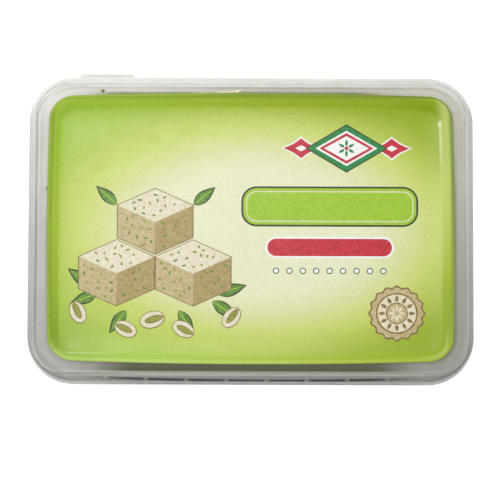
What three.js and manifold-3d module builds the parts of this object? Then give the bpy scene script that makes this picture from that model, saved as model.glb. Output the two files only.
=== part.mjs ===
// A shut rectangular tub of pistachio halva: a tapered tub, a press-on lid with a sunken panel,
// the printed film on that panel, and the block of halva that fills the tub.
// Millimetres, +Z up, +X along the length. The origin is the middle of the tub's flat underside.
import * as THREE from 'three';
import { mergeVertices } from 'three/addons/utils/BufferGeometryUtils.js';
import Module from 'manifold-3d';

const wasm = await Module();
wasm.setup();

// ---- Driving dimensions ----
const LENGTH = 186; // over the lid's skirt
const WIDTH = 130;
const RIM_RADIUS = 19.5; // corner radius of the lid's skirt, seen from above
const LID_CREST = 43.6; // top of the bead round the sunken panel
const BAND_TOP = 42.6; // flat outer band of the lid
const SKIRT_BOTTOM = 35.4;
const PANEL_DEPTH = 6.0; // from the bead's crest down to the panel
const LID_WALL = 1.0;

const GROOVE_INSET = 3.3; // from the skirt to the groove round the lid
const GROOVE_DEPTH = 0.55;
const GROOVE_RADIUS = 13.5;

const LABEL_HALF = { x: 85, y: 57.75 }; // half sizes at mid-side of the bead that the film reaches
const LABEL_RADIUS = 10;
const LABEL_BOW = { x: 1.0, y: 1.6 }; // how far each side swells out at its middle
const SLOPE_WIDTH = 4.6; // level distance from the bead's edge to the panel
const PANEL_RADIUS = 5.5;
const FILM = 0.25; // thickness of the printed film
const GAP = 0.15; // between the film and the lid

const TUB_WALL = 1.2;
const FLOOR = 2.0; // top of the tub's floor
const LEDGE_TOP = 34.8; // ledge under the lid's skirt
const RIM_TOP = 41.0;
const BASE_INSET = 10.6; // from the skirt in to the wall, just above the base
const SHOULDER_INSET = 4.9; // the same, just under the ledge

const RIB_PITCH = { long: 16.7, short: 15 }; // ribs between skirt and rim
const RIB_COUNT = { long: 8, short: 5 };
const RIB_SIZE = { wide: 1.3, deep: 1.0 };
const RIB_SHIFT = { long: -1.6, short: 0 }; // how far each side's row of ribs stands off its middle

const TAB = { x: -60.5, length: 22.8, reach: 2.5, thick: 1.2, radius: 1.0 }; // pull tab, at the back

const HALVA_CLEARANCE = 0.3;
const HALVA_TOP = 35.7;
const HALVA_SWELL = 0.4; // how far its top rises and falls

// Steps along each corner and each side of every outline.
const CORNER_STEPS = 7;
const LONG_STEPS = 8;
const SHORT_STEPS = 6;

// ---- Outlines ----
// A rounded rectangle whose sides swell out a little at their middles. bow is how far, in millimetres.
const SKIRT = { x: LENGTH / 2, y: WIDTH / 2, radius: RIM_RADIUS, bow: { x: 0, y: 0 } };
const LABEL_EDGE = { ...LABEL_HALF, radius: LABEL_RADIUS, bow: LABEL_BOW };
const PANEL_EDGE = {
  x: LABEL_HALF.x - SLOPE_WIDTH,
  y: LABEL_HALF.y - SLOPE_WIDTH,
  radius: PANEL_RADIUS,
  bow: LABEL_BOW,
};

function inset(outline, distance, radius = Math.max(outline.radius - distance, 1)) {
  return { x: outline.x - distance, y: outline.y - distance, radius, bow: outline.bow };
}

// One level of a shell: an outline at a height.
const level = (outline, z) => ({ ...outline, z });

// The outline's points, counter-clockwise from the start of the corner at +X and -Y.
function outlinePoints({ x, y, radius, bow }) {
  const cornerX = x - radius;
  const cornerY = y - radius;
  const corners = [[1, -1], [1, 1], [-1, 1], [-1, -1]];
  const points = [];
  corners.forEach(([signX, signY], corner) => {
    const start = (corner - 1) * Math.PI / 2;
    for (let step = 0; step <= CORNER_STEPS; step++) {
      const angle = start + step / CORNER_STEPS * Math.PI / 2;
      points.push([
        signX * cornerX + radius * Math.cos(angle),
        signY * cornerY + radius * Math.sin(angle),
      ]);
    }
    const [nextX, nextY] = corners[(corner + 1) % 4];
    const [fromX, fromY] = points[points.length - 1];
    const upright = signX === nextX;
    const toX = upright ? fromX : nextX * cornerX;
    const toY = upright ? nextY * cornerY : fromY;
    const steps = upright ? SHORT_STEPS : LONG_STEPS;
    for (let step = 1; step < steps; step++) {
      const share = step / steps;
      points.push([fromX + (toX - fromX) * share, fromY + (toY - fromY) * share]);
    }
  });
  // The swell: none at the corners' ends, all of it in the middle of a side.
  return points.map(([px, py]) => [
    px - Math.sign(px) * bow.x * (px / x) ** 2 * (py / y) ** 2,
    py - Math.sign(py) * bow.y * (px / x) ** 2 * (py / y) ** 2,
  ]);
}

// ---- Meshes from levels ----
function geometryOf(positions, triangles) {
  const geometry = new THREE.BufferGeometry();
  geometry.setAttribute('position', new THREE.Float32BufferAttribute(positions, 3));
  geometry.setIndex(triangles);
  return geometry;
}

// A closed body through a run of levels, each joined to the next, with a flat cap on the first and the last.
// height(x, y) may raise the points of the levels marked free, and of the last cap's middle.
function loft(levels, height = () => 0) {
  const positions = [];
  levels.forEach((ring) => {
    outlinePoints(ring).forEach(([px, py]) => {
      positions.push(px, py, ring.z + (ring.free ? height(px, py) : 0));
    });
  });
  const count = positions.length / 3 / levels.length;
  const last = levels[levels.length - 1];
  const firstMiddle = positions.length / 3;
  positions.push(0, 0, levels[0].z);
  positions.push(0, 0, last.z + (last.free ? height(0, 0) : 0));
  const triangles = [];
  for (let step = 0; step < count; step++) {
    const next = (step + 1) % count;
    triangles.push(firstMiddle, next, step);
    for (let ring = 0; ring + 1 < levels.length; ring++) {
      const low = ring * count;
      const high = low + count;
      triangles.push(low + step, low + next, high + next);
      triangles.push(low + step, high + next, high + step);
    }
    const top = (levels.length - 1) * count;
    triangles.push(firstMiddle + 1, top + step, top + next);
  }
  return geometryOf(positions, triangles);
}

// ---- Joining closed meshes ----
function solidOf(geometry) {
  const bare = geometry.clone();
  bare.deleteAttribute('normal');
  bare.deleteAttribute('uv');
  const merged = mergeVertices(bare);
  return new wasm.Manifold(new wasm.Mesh({
    numProp: 3,
    vertProperties: new Float32Array(merged.attributes.position.array),
    triVerts: new Uint32Array(merged.index.array),
  }));
}

function fuse(geometries) {
  const whole = geometries.map(solidOf).reduce((sum, solid) => sum.add(solid));
  const { vertProperties, triVerts } = whole.getMesh();
  return geometryOf([...vertProperties], [...triVerts]);
}

// ---- The tub ----
// From the middle of the underside, out and up the wall, over the rim and down inside to the floor.
const tubLevel = (distance, z, radius) => level(inset(SKIRT, distance, radius), z);

function tubGeometry() {
  const foot = BASE_INSET + 3.5; // the flat underside's edge, which fits the sunken panel of a lid below
  const grooveFar = foot + 3.6; // a shallow groove round the underside
  const rimOuter = 3.0;
  const rimInner = rimOuter + TUB_WALL;
  return loft([
    tubLevel(grooveFar, 0, 6.0),
    tubLevel(grooveFar - 0.4, 0.7, 6.4),
    tubLevel(foot + 2.0, 0.7, 7.6),
    tubLevel(foot + 1.6, 0, 8.0),
    tubLevel(foot, 0, 9.0),
    tubLevel(BASE_INSET + 1.6, 0.45, 10.5),
    tubLevel(BASE_INSET + 0.5, 1.6, 11.5),
    tubLevel(BASE_INSET, 3.2, 12.0),
    tubLevel(SHOULDER_INSET, LEDGE_TOP - 1.6, 15.0),
    tubLevel(SHOULDER_INSET - 0.3, LEDGE_TOP - 1.2, 15.2),
    tubLevel(0.5, LEDGE_TOP - 1.2, 19.0),
    tubLevel(0.5, LEDGE_TOP, 19.0),
    tubLevel(rimOuter, LEDGE_TOP, 16.6),
    tubLevel(rimOuter, RIM_TOP - 2.4, 16.6),
    tubLevel(rimOuter - 0.6, RIM_TOP - 1.6, 17.2), // the bead that the lid presses over
    tubLevel(rimOuter - 0.4, RIM_TOP - 0.6, 17.0),
    tubLevel(rimOuter, RIM_TOP, 16.6),
    tubLevel(rimInner, RIM_TOP, 15.4),
    tubLevel(SHOULDER_INSET, LEDGE_TOP + 0.7, 14.8),
    tubLevel(SHOULDER_INSET + TUB_WALL, LEDGE_TOP - 1.6, 13.8),
    tubLevel(BASE_INSET + TUB_WALL, FLOOR + 2.4, 10.8),
    tubLevel(BASE_INSET + TUB_WALL + 0.7, FLOOR + 0.8, 10.2),
    tubLevel(BASE_INSET + TUB_WALL + 2.1, FLOOR, 9.0),
  ]);
}

// ---- The lid ----
const GROOVE = inset(SKIRT, GROOVE_INSET, GROOVE_RADIUS);
const PANEL_TOP = LID_CREST - PANEL_DEPTH;

// The face that carries the film: up the bead's outer side, over its crest and down the slope to the panel.
const FILM_FACE = [
  level(inset(LABEL_EDGE, 0), LID_CREST - 0.3),
  level(inset(LABEL_EDGE, 0.55), LID_CREST),
  level(inset(LABEL_EDGE, 1.2), LID_CREST - 0.25),
  level(inset(PANEL_EDGE, -0.7), PANEL_TOP + 0.75),
  level(inset(PANEL_EDGE, 0), PANEL_TOP + 0.2),
  level(inset(PANEL_EDGE, 0.9), PANEL_TOP),
];

// One rib, standing in the gap between the skirt and the tub's rim, its back sunk in the skirt.
function ribGeometry(x, y, alongX) {
  const sunk = 0.3;
  const deep = RIB_SIZE.deep + sunk;
  const bottom = SKIRT_BOTTOM + 0.5;
  const top = BAND_TOP - LID_WALL + 0.2;
  const size = alongX ? [RIB_SIZE.wide, deep] : [deep, RIB_SIZE.wide];
  const rib = new THREE.BoxGeometry(size[0], size[1], top - bottom);
  const middle = LID_WALL - sunk + deep / 2; // from the skirt's outer face
  return rib.translate(
    alongX ? x : Math.sign(x) * (SKIRT.x - middle),
    alongX ? Math.sign(y) * (SKIRT.y - middle) : y,
    (bottom + top) / 2,
  );
}

// Where the ribs of a long or a short side stand along it.
function ribPlaces(side) {
  const first = RIB_SHIFT[side] - (RIB_COUNT[side] - 1) / 2 * RIB_PITCH[side];
  return Array.from({ length: RIB_COUNT[side] }, (_, rib) => first + rib * RIB_PITCH[side]);
}

function ribs() {
  const all = [];
  for (const side of [-1, 1]) {
    ribPlaces('long').forEach((along) => all.push(ribGeometry(along, side, true)));
    ribPlaces('short').forEach((along) => all.push(ribGeometry(side, along, false)));
  }
  return all;
}

// The pull tab: a flat tongue with two round corners, its root sunk in the skirt.
function tabGeometry() {
  const root = 0.5;
  const half = TAB.length / 2;
  const tongue = new THREE.Shape();
  tongue.moveTo(-half, -root);
  tongue.lineTo(half, -root);
  tongue.lineTo(half, TAB.reach - TAB.radius);
  tongue.absarc(half - TAB.radius, TAB.reach - TAB.radius, TAB.radius, 0, Math.PI / 2);
  tongue.absarc(TAB.radius - half, TAB.reach - TAB.radius, TAB.radius, Math.PI / 2, Math.PI);
  tongue.closePath();
  const plate = new THREE.ExtrudeGeometry(tongue, {
    depth: TAB.thick, bevelEnabled: false, curveSegments: 5,
  });
  return plate.translate(TAB.x, SKIRT.y, SKIRT_BOTTOM + 0.3);
}

function lidGeometry() {
  const underBand = BAND_TOP - LID_WALL;
  const shell = loft([
    // Under the panel, up behind the slope, under the ring and band, down the skirt's inner face.
    level(inset(PANEL_EDGE, 0.5), PANEL_TOP - LID_WALL),
    level(inset(PANEL_EDGE, -0.7), PANEL_TOP - LID_WALL + 0.3),
    level(inset(PANEL_EDGE, -1.4), PANEL_TOP + 0.1),
    level(inset(LABEL_EDGE, 0.7), LID_CREST - 1.7),
    level(inset(LABEL_EDGE, -1.0), LID_CREST - 2.0),
    level(GROOVE, underBand - 0.25),
    level(inset(SKIRT, LID_WALL + 0.5), underBand - 0.05),
    level(inset(SKIRT, LID_WALL), underBand - 0.6),
    level(inset(SKIRT, LID_WALL), SKIRT_BOTTOM),
    // Up the skirt, over its round edge, the band, the groove and the ring, to the bead.
    level(SKIRT, SKIRT_BOTTOM),
    level(inset(SKIRT, 0.1), BAND_TOP - 1.1),
    level(inset(SKIRT, 0.4), BAND_TOP - 0.35),
    level(inset(SKIRT, 1.1), BAND_TOP),
    level(inset(GROOVE, -0.5), BAND_TOP),
    level(GROOVE, BAND_TOP - GROOVE_DEPTH),
    level(inset(GROOVE, 0.5), BAND_TOP + 0.1),
    level(inset(LABEL_EDGE, -1.5), BAND_TOP + 0.25),
    level(inset(LABEL_EDGE, -0.6), BAND_TOP + 0.4),
    ...FILM_FACE,
  ]);
  return fuse([shell, ...ribs(), tabGeometry()]);
}

// ---- The printed film ----
// The levels moved off along their own face's normal. Inset and height are the profile's two directions.
function offset(levels, distance) {
  return levels.map((ring, index) => {
    const before = levels[Math.max(index - 1, 0)];
    const after = levels[Math.min(index + 1, levels.length - 1)];
    const run = before.x - after.x;
    const rise = after.z - before.z;
    const length = Math.hypot(run, rise);
    const outward = distance * rise / length;
    return { ...inset(ring, -outward), z: ring.z + distance * run / length };
  });
}

function filmGeometry() {
  const under = offset(FILM_FACE, GAP).reverse();
  const over = offset(FILM_FACE, GAP + FILM);
  return loft([...under, ...over]);
}

// ---- The halva ----
// The block takes the tub's inner form, and its top swells and sinks a little, as pressed halva does.
function halvaGeometry() {
  const wall = BASE_INSET + TUB_WALL + HALVA_CLEARANCE;
  const shoulder = SHOULDER_INSET + TUB_WALL + HALVA_CLEARANCE;
  const free = (distance, radius) => ({
    ...tubLevel(distance, HALVA_TOP, radius),
    free: true,
  });
  const swell = (x, y) => HALVA_SWELL * (
    0.45 * Math.sin(x / 13 + 0.6) * Math.cos(y / 11)
    + 0.35 * Math.sin(x / 7.3 - y / 9.1)
    + 0.2 * Math.cos(x / 4.1 + y / 5.7)
  );
  return loft([
    tubLevel(wall + 2.0, FLOOR + HALVA_CLEARANCE, 8.7),
    tubLevel(wall + 0.6, FLOOR + HALVA_CLEARANCE + 0.8, 10.0),
    tubLevel(wall, FLOOR + HALVA_CLEARANCE + 2.2, 10.5),
    tubLevel(shoulder, LEDGE_TOP - 1.6, 13.5),
    tubLevel(shoulder + 0.5, HALVA_TOP - 0.9, 13.0),
    free(shoulder + 1.6, 12.0),
    free(16, 9.0),
    free(27, 7.0),
    free(40, 5.0),
    free(53, 3.0),
  ], swell);
}

// ---- The object ----
const FROSTED = { color: 0xd6d5cf, roughness: 0.35, metalness: 0 };

function part(name, geometry, look) {
  const mesh = new THREE.Mesh(geometry, new THREE.MeshStandardMaterial(look));
  mesh.name = name;
  return mesh;
}

const tubOfHalva = new THREE.Group();
tubOfHalva.add(
  part('tub', tubGeometry(), FROSTED),
  part('lid', lidGeometry(), FROSTED),
  part('label', filmGeometry(), { color: 0xb4cd66, roughness: 0.3, metalness: 0 }),
  part('halva', halvaGeometry(), { color: 0xcdbf94, roughness: 0.9, metalness: 0 }),
);

export default tubOfHalva;
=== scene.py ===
"""Looks of a shut tub of pistachio halva: frosted tub and lid, printed film, and the halva inside.

Metres, +Z up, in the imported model's own frame. MM turns the millimetres of the named sizes into metres.
"""

import math
import random

import bmesh
import bpy
import numpy as np
from mathutils import Matrix, Vector, noise


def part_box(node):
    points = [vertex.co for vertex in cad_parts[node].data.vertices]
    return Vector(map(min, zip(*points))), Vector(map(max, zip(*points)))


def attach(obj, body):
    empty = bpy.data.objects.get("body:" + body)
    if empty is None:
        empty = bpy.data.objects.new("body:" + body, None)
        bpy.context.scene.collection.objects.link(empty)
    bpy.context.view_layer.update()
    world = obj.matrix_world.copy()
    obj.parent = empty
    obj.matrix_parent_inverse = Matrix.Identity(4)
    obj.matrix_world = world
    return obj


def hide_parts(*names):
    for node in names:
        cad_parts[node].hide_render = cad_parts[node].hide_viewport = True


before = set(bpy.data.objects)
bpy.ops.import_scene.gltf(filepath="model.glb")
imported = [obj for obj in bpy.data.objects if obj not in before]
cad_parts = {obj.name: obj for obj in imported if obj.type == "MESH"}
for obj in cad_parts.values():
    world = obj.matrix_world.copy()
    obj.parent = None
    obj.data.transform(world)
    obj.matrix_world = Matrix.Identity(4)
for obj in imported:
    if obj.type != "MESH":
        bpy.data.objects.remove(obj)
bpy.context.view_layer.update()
MM = 0.001
SEED = 7

# ---- Sizes, from the frame where it has them, in millimetres ----
LID_LOW, LID_HIGH = (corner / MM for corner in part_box("lid"))
TUB_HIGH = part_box("tub")[1] / MM
HALVA_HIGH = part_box("halva")[1] / MM

SKIRT_X = LID_HIGH.x
SKIRT_Y = -LID_LOW.y
SKIRT_BOTTOM = LID_LOW.z
LID_CREST = LID_HIGH.z
BAND_TOP = LID_CREST - 1.0
RIM_RADIUS = 19.5
LID_WALL = 1.0
GROOVE_INSET = 3.3
GROOVE_RADIUS = 13.5
GROOVE_DEPTH = 0.55
RIM_TOP = TUB_HIGH.z
LEDGE_TOP = RIM_TOP - 6.2
TUB_WALL = 1.2
FLOOR = 2.0
BASE_INSET = 10.6
SHOULDER_INSET = 4.9

PANEL_TOP = LID_CREST - 6.0
PANEL_RADIUS = 5.5
FILM_OVER_LID = 0.4  # the film's top face over the lid's
PRINT_Z = PANEL_TOP + FILM_OVER_LID  # the flat face that carries the printed shapes
SLOPE_WIDTH = 4.6
LABEL_X = 85.0
LABEL_Y = 57.75
LABEL_RADIUS = 10.0
LABEL_BOW = (1.0, 1.6)

RIB_PITCH = {"long": 16.7, "short": 15.0}
RIB_COUNT = {"long": 8, "short": 5}
RIB_SHIFT = {"long": -1.6, "short": 0.0}
RIB_WIDE = 1.3
RIB_DEEP = 1.0
TAB_X = -60.5
TAB_HALF = 11.4
TAB_REACH = LID_HIGH.y - SKIRT_Y
TAB_RADIUS = 1.0
TAB_THICK = 1.2


# ---- Rings: rounded rectangles, all with the same number of points ----
CORNERS = [(1, -1), (1, 1), (-1, 1), (-1, -1)]  # signs of x and y, from the front right
CORNER_STEPS = 24
LONG_STRAIGHT = SKIRT_X - RIM_RADIUS
SHORT_STRAIGHT = SKIRT_Y - RIM_RADIUS
STOP_PITCH = 3.5  # between the points along a straight side
RIB_EDGE = 0.15  # half the width of a rib's steep side
RIB_CLEAR = 0.8  # from a rib to the nearest point beside it, at least
TAB_STEPS = 7
TAB_FIRST_ANGLE = 0.04  # of the points round a corner of the tab, just inside the tab's end
TAB_EDGE = 0.05  # from the tab's end to the point beside it


def rib_centres(side):
    first = RIB_SHIFT[side] - (RIB_COUNT[side] - 1) / 2 * RIB_PITCH[side]
    return [first + rib * RIB_PITCH[side] for rib in range(RIB_COUNT[side])]


def side_stops(side, straight, extra=()):
    """Places along a straight side: evenly spread, at each rib's edges, and the extra ones."""
    stops = list(np.arange(-straight, straight, STOP_PITCH)[1:]) + list(extra)
    half = RIB_WIDE / 2
    for centre in rib_centres(side):
        stops = [s for s in stops if abs(s - centre) > half + RIB_CLEAR]
        stops += [centre + sign * half + step for sign in (-1, 1) for step in (-RIB_EDGE, RIB_EDGE)]
    return sorted(stops)


def tab_stops():
    """Places round the tab's two corners, and one just beyond each of them."""
    angles = np.linspace(TAB_FIRST_ANGLE, math.pi / 2, TAB_STEPS)
    stops = [TAB_X + sign * (TAB_HALF - TAB_RADIUS * (1 - math.cos(a))) for sign in (-1, 1) for a in angles]
    return stops + [TAB_X - TAB_HALF - TAB_EDGE, TAB_X + TAB_HALF + TAB_EDGE]


def rib_mask(side, place):
    near = min(abs(place - centre) for centre in rib_centres(side))
    return 1.0 if near < RIB_WIDE / 2 else 0.0


def tab_mask(place):
    """The tab's outline: 1 along its straight edge, and two round corners."""
    beyond = abs(place - TAB_X) - (TAB_HALF - TAB_RADIUS)
    if beyond <= 0:
        return 1.0
    if beyond >= TAB_RADIUS:
        return 0.0
    drop = TAB_RADIUS - math.sqrt(TAB_RADIUS**2 - beyond**2)
    return 1.0 - drop / TAB_REACH


def make_track():
    """Each point of a ring: its place between the corners, outward direction, and rib and tab masks."""
    long_plain = side_stops("long", LONG_STRAIGHT)
    long_tab = side_stops("long", LONG_STRAIGHT, tab_stops())
    short_stops = side_stops("short", SHORT_STRAIGHT)
    sides = [
        [(1, s / SHORT_STRAIGHT, 1, 0, rib_mask("short", s), 0) for s in short_stops],
        [(s / LONG_STRAIGHT, 1, 0, 1, rib_mask("long", s), tab_mask(s)) for s in long_tab[::-1]],
        [(-1, s / SHORT_STRAIGHT, -1, 0, rib_mask("short", s), 0) for s in short_stops[::-1]],
        [(s / LONG_STRAIGHT, -1, 0, -1, rib_mask("long", s), 0) for s in long_plain],
    ]
    track = []
    for corner, (sx, sy) in enumerate(CORNERS):
        for step in range(CORNER_STEPS + 1):
            angle = (corner - 1 + step / CORNER_STEPS) * math.pi / 2
            track.append((sx, sy, math.cos(angle), math.sin(angle), 0, 0))
        track += sides[corner]
    return np.array(track)


TRACK = make_track()


def ring(x, y, radius, z, bow=(0.0, 0.0), rib=0.0, tab=0.0):
    return np.array([x, y, radius, z, bow[0], bow[1], rib, tab])


def skirt_ring(inset, z, radius=None, rib=0.0, tab=0.0):
    """A ring set in from the lid's skirt."""
    radius = RIM_RADIUS - inset if radius is None else radius
    return ring(SKIRT_X - inset, SKIRT_Y - inset, radius, z, rib=rib, tab=tab)


def label_ring(inset, z):
    return ring(LABEL_X - inset, LABEL_Y - inset, LABEL_RADIUS - inset, z, LABEL_BOW)


def panel_ring(inset, z):
    x = LABEL_X - SLOPE_WIDTH - inset
    y = LABEL_Y - SLOPE_WIDTH - inset
    return ring(x, y, max(PANEL_RADIUS - inset, 1.0), z, LABEL_BOW)


def ring_points(one):
    x, y, radius, z, bow_x, bow_y, rib, tab = one
    px = TRACK[:, 0] * (x - radius) + TRACK[:, 2] * radius
    py = TRACK[:, 1] * (y - radius) + TRACK[:, 3] * radius
    share = (px / x) ** 2 * (py / y) ** 2
    push = tab * TRACK[:, 5] - rib * TRACK[:, 4]
    px = px - np.sign(px) * bow_x * share + TRACK[:, 2] * push
    py = py - np.sign(py) * bow_y * share + TRACK[:, 3] * push
    return np.column_stack([px, py, np.full(len(px), z)])


def rounded(rings, fillet=0.35, steps=3, most=0.45):
    """The rings with each bend rounded off by fillet, or by the share most of a short stretch."""
    smooth = [rings[0]]
    for before, here, after in zip(rings, rings[1:], rings[2:]):
        pair = []
        for other in (before, after):
            reach = np.linalg.norm((other - here)[[0, 3]])
            pair.append(here + (other - here) * min(most, fillet / max(reach, 1e-6)))
        for step in range(steps + 1):
            t = step / steps
            smooth.append((1 - t) ** 2 * pair[0] + 2 * t * (1 - t) * here + t**2 * pair[1])
    smooth.append(rings[-1])
    return smooth


# ---- Meshes ----
def new_object(name, data):
    made = bpy.data.objects.new(name, data)
    bpy.context.scene.collection.objects.link(made)
    return made


def add_object(name, vertices, faces, material, smooth=True):
    """One piece of the object, from points in millimetres."""
    mesh = bpy.data.meshes.new(name)
    mesh.from_pydata([tuple(float(c) * MM for c in v) for v in vertices], [], faces)
    mesh.validate()
    if smooth:
        mesh.shade_smooth()
    mesh.materials.append(material)
    made = new_object(name, mesh)
    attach(made, "root")
    return made


def loft(name, rings, material, shape=None):
    """A closed shell through the rings, capped at both ends. shape may move its points."""
    points = np.vstack([ring_points(one) for one in rings])
    count = len(TRACK)
    if shape:
        points = shape(points)
    middles = [[0, 0, points[:count, 2].mean()], [0, 0, points[-count:, 2].mean()]]
    first = len(points)
    points = np.vstack([points, middles])
    faces = []
    for step in range(count):
        following = (step + 1) % count
        faces.append((first, following, step))
        for low in range(0, (len(rings) - 1) * count, count):
            faces.append((low + step, low + following, low + count + following, low + count + step))
        top = (len(rings) - 1) * count
        faces.append((first + 1, top + step, top + following))
    return add_object(name, points, faces, material)


# ---- Materials ----
MIX_FIRST, MIX_SECOND, MIX_RESULT = 6, 7, 2  # a Mix node's sockets for colours
NOISE_LOW, NOISE_HIGH = 0.3, 0.7  # most of a noise lies between them


def rgb(red, green, blue):
    """A colour as it is seen on a screen, 0 to 255, in the renderer's own values."""
    return tuple((c / 255 / 12.92 if c <= 10 else ((c / 255 + 0.055) / 1.055) ** 2.4)
                 for c in (red, green, blue)) + (1.0,)


class Nodes:
    """A tree of shader nodes. Each method adds nodes and returns the last one's output."""

    def __init__(self, tree):
        self.tree = tree

    def node(self, kind, **settings):
        made = self.tree.nodes.new(kind)
        for name, value in settings.items():
            setattr(made, name, value)
        return made

    def plug(self, value, socket):
        if isinstance(value, bpy.types.NodeSocket):
            self.tree.links.new(value, socket)
        else:
            socket.default_value = value

    def math(self, operation, first, second=0.0):
        made = self.node("ShaderNodeMath", operation=operation)
        self.plug(first, made.inputs[0])
        self.plug(second, made.inputs[1])
        return made.outputs[0]

    def hypot(self, x, y):
        return self.math("SQRT", self.math("ADD", self.math("POWER", x, 2.0), self.math("POWER", y, 2.0)))

    def ease(self, value, low, high, start=0.0, end=1.0):
        """start below low, end above high, and a smooth step between."""
        made = self.node("ShaderNodeMapRange", interpolation_type="SMOOTHSTEP")
        self.plug(value, made.inputs["Value"])
        for socket, number in (("From Min", low), ("From Max", high), ("To Min", start), ("To Max", end)):
            made.inputs[socket].default_value = number
        return made.outputs["Result"]

    def fall(self, value, low, high):
        """1 below low, 0 above high, and a smooth step between."""
        return self.ease(value, low, high, 1.0, 0.0)

    def band(self, value, low, high, soft):
        """1 between low and high, and 0 further than soft outside them."""
        return self.math("MULTIPLY", self.ease(value, low - soft, low), self.fall(value, high, high + soft))

    def both(self, *shares):
        """The product of the shares: high only where all of them are."""
        product = shares[0]
        for share in shares[1:]:
            product = self.math("MULTIPLY", product, share)
        return product

    def mix(self, share, first, second, blend="MIX"):
        made = self.node("ShaderNodeMix", data_type="RGBA", blend_type=blend)
        self.plug(share, made.inputs["Factor"])
        self.plug(first, made.inputs[MIX_FIRST])
        self.plug(second, made.inputs[MIX_SECOND])
        return made.outputs[MIX_RESULT]

    def paint(self, colour, onto, strength, *shares):
        """The colour with another over it, as strong as the product of strength and the shares."""
        return self.mix(self.math("MULTIPLY", self.both(*shares), strength), colour, onto)

    def filtered(self, colour, by, *shares):
        """The colour multiplied by another, as strongly as the product of the shares."""
        return self.mix(self.both(*shares), colour, by, "MULTIPLY")


class Look(Nodes):
    """A material on the Principled shader. Places and distances are in millimetres."""

    def __init__(self, name, **settings):
        self.material = bpy.data.materials.new(name)
        self.material.use_nodes = True
        super().__init__(self.material.node_tree)
        self.shader = self.tree.nodes["Principled BSDF"]
        for socket, value in settings.items():
            self.shader.inputs[socket.replace("_", " ")].default_value = value
        self.place = self.node("ShaderNodeTexCoord").outputs["Object"]
        split = self.node("ShaderNodeSeparateXYZ")
        self.plug(self.place, split.inputs[0])
        self.x, self.y, self.z = (self.math("DIVIDE", split.outputs[axis], MM) for axis in "XYZ")

    def noise(self, scale, detail=3.0, roughness=0.5, stretch=None, distortion=0.0):
        made = self.node("ShaderNodeTexNoise")
        where = self.place
        if stretch:
            mapping = self.node("ShaderNodeMapping")
            mapping.inputs["Scale"].default_value = stretch
            self.plug(where, mapping.inputs["Vector"])
            where = mapping.outputs["Vector"]
        self.plug(where, made.inputs["Vector"])
        made.inputs["Scale"].default_value = scale
        made.inputs["Detail"].default_value = detail
        made.inputs["Roughness"].default_value = roughness
        made.inputs["Distortion"].default_value = distortion
        return made.outputs["Fac"]

    def spread(self, noise, start=0.0, end=1.0):
        """A noise's middle values spread over the range from start to end."""
        return self.ease(noise, NOISE_LOW, NOISE_HIGH, start, end)

    def oval(self, x, y, half_x, half_y):
        """How far a place lies from the middle of an oval: 0 there and 1 on its edge."""
        across = self.math("DIVIDE", self.math("SUBTRACT", self.x, x), half_x)
        along = self.math("DIVIDE", self.math("SUBTRACT", self.y, y), half_y)
        return self.hypot(across, along)

    def inset(self, half_x, half_y, radius):
        """How far a place lies inside a rounded rectangle, seen from above."""
        past_x = self.math("SUBTRACT", self.math("ABSOLUTE", self.x), half_x - radius)
        past_y = self.math("SUBTRACT", self.math("ABSOLUTE", self.y), half_y - radius)
        corner = self.hypot(self.math("MAXIMUM", past_x, 0.0), self.math("MAXIMUM", past_y, 0.0))
        inside = self.math("MINIMUM", self.math("MAXIMUM", past_x, past_y), 0.0)
        return self.math("SUBTRACT", radius, self.math("ADD", corner, inside))

    def tint(self, colour, amount):
        """The colour made lighter or darker: amount is a factor round 1."""
        made = self.node("ShaderNodeHueSaturation")
        self.plug(amount, made.inputs["Value"])
        self.plug(colour, made.inputs["Color"])
        return made.outputs["Color"]

    def lit(self, colour, amount, *shares):
        """The colour made lighter or darker by the factor amount, where the shares are high."""
        return self.tint(colour, self.ease(self.both(*shares), 0.0, 1.0, 1.0, amount))

    def bump(self, height, strength, distance):
        made = self.node("ShaderNodeBump")
        self.plug(height, made.inputs["Height"])
        made.inputs["Strength"].default_value = strength
        made.inputs["Distance"].default_value = distance * MM
        self.plug(made.outputs["Normal"], self.shader.inputs["Normal"])

    def colour(self, value):
        self.plug(value, self.shader.inputs["Base Color"])

    def roughness(self, value):
        self.plug(value, self.shader.inputs["Roughness"])


def frosted_plastic(name, transmission, depths):
    """Milky plastic. depths(look, colour) adds what shows through it, and painted light and shade."""
    look = Look(name, IOR=1.49, Transmission_Weight=transmission)
    cloud = look.spread(look.noise(60, detail=2))
    colour = look.mix(cloud, rgb(238, 237, 234), rgb(231, 230, 225))
    streak = look.spread(look.noise(500), 0.97, 1.03)
    look.colour(depths(look, look.tint(colour, streak)))
    look.roughness(look.spread(look.noise(240, detail=4), 0.30, 0.38))
    return look.material


def tub_depths_and_shade(look, colour):
    """What the tub lets through: the halva, its fibres and blurred bits of pistachio; and painted shade on
    the ledge in front, under the lid's skirt.
    """
    wall = look.band(look.z, FLOOR + 2.6, LEDGE_TOP - 3.0, 1.6)
    fibre = look.noise(260, detail=5, roughness=0.6, stretch=(1, 1, 2.2), distortion=0.5)
    halva = look.mix(look.ease(fibre, 0.35, 0.65), rgb(202, 186, 148), rgb(226, 214, 182))
    patch = look.noise(60, detail=2)
    halva = look.paint(halva, rgb(208, 190, 146), 0.5, look.ease(patch, 0.4, 0.6))
    nuts = look.noise(240, detail=1.5, roughness=0.5, distortion=0.4)
    halva = look.paint(halva, rgb(146, 156, 88), 0.85, look.ease(nuts, 0.625, 0.67))
    colour = look.paint(colour, halva, 0.82, wall)
    # Painted shade: the ledge in front, under the lid's skirt, is darkened as if in shadow.
    ledge = look.both(look.ease(look.z, LEDGE_TOP - 1.7, LEDGE_TOP - 1.3), look.fall(look.y, -60.0, -46.0))
    return look.paint(colour, rgb(96, 98, 92), 0.85, ledge, look.ease(look.x, -76.0, -50.0, 0.1, 1.0))


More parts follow.
